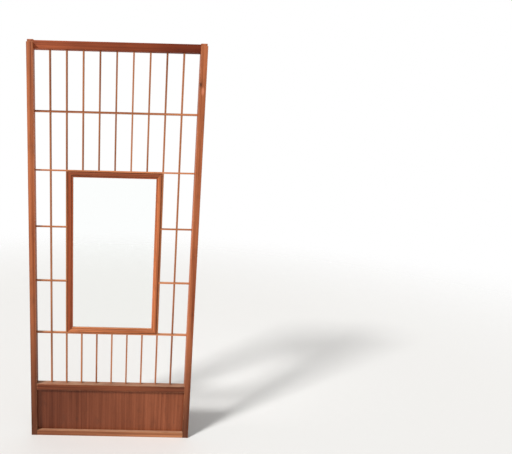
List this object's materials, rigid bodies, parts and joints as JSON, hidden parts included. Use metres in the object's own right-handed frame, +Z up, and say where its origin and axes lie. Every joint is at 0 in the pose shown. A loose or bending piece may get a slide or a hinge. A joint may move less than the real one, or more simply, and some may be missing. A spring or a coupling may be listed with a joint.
{
  "type": "shoji sliding screen leaf with a glazed middle panel",
  "caption": "Sliding screen leaf of stained wood: bare paper lattice around a small glazed frame, over a solid hip board.",
  "frame": {"origin": "under the middle of the leaf, in the plane that its foot stands on", "axes": "+X across the leaf to the right seen from the room, +Y from the room side through the leaf to the papered side, +Z up"},
  "size_m": [0.731, 0.027, 1.742],
  "materials": {
    "frame": "reddish brown stained softwood stiles and rails, worn satin lacquer",
    "lattice": "thin stained softwood bars, worn satin lacquer",
    "glass_frame": "orange red stained softwood, satin lacquer",
    "beads": "stained softwood beads, satin",
    "board": "thin dark red brown board with upright grain, satin",
    "glass": "clear float glass, faintly green at its edges",
    "brads": "small dull brass brads"
  },
  "bodies": {
    "root": {"bead_brads": "brads", "bottom_rail": "frame", "crossbar_1": "lattice", "crossbar_2": "lattice", "crossbar_3_left": "lattice", "crossbar_3_right": "lattice", "crossbar_4_left": "lattice", "crossbar_4_right": "lattice", "crossbar_5": "lattice", "glass_frame_bottom": "glass_frame", "glass_frame_left": "glass_frame", "glass_frame_right": "glass_frame", "glass_frame_top": "glass_frame", "glass_pane": "glass", "glazing_bead_bottom": "beads", "glazing_bead_left": "beads", "glazing_bead_right": "beads", "glazing_bead_top": "beads", "hip_board": "board", "left_stile": "frame", "middle_rail": "frame", "right_stile": "frame", "top_rail": "frame", "upright_1": "lattice", "upright_2": "lattice", "upright_3_lower": "lattice", "upright_3_upper": "lattice", "upright_4_lower": "lattice", "upright_4_upper": "lattice", "upright_5_lower": "lattice", "upright_5_upper": "lattice", "upright_6_lower": "lattice", "upright_6_upper": "lattice", "upright_7_lower": "lattice", "upright_7_upper": "lattice", "upright_8": "lattice", "upright_9": "lattice"}
  },
  "joints": []
}
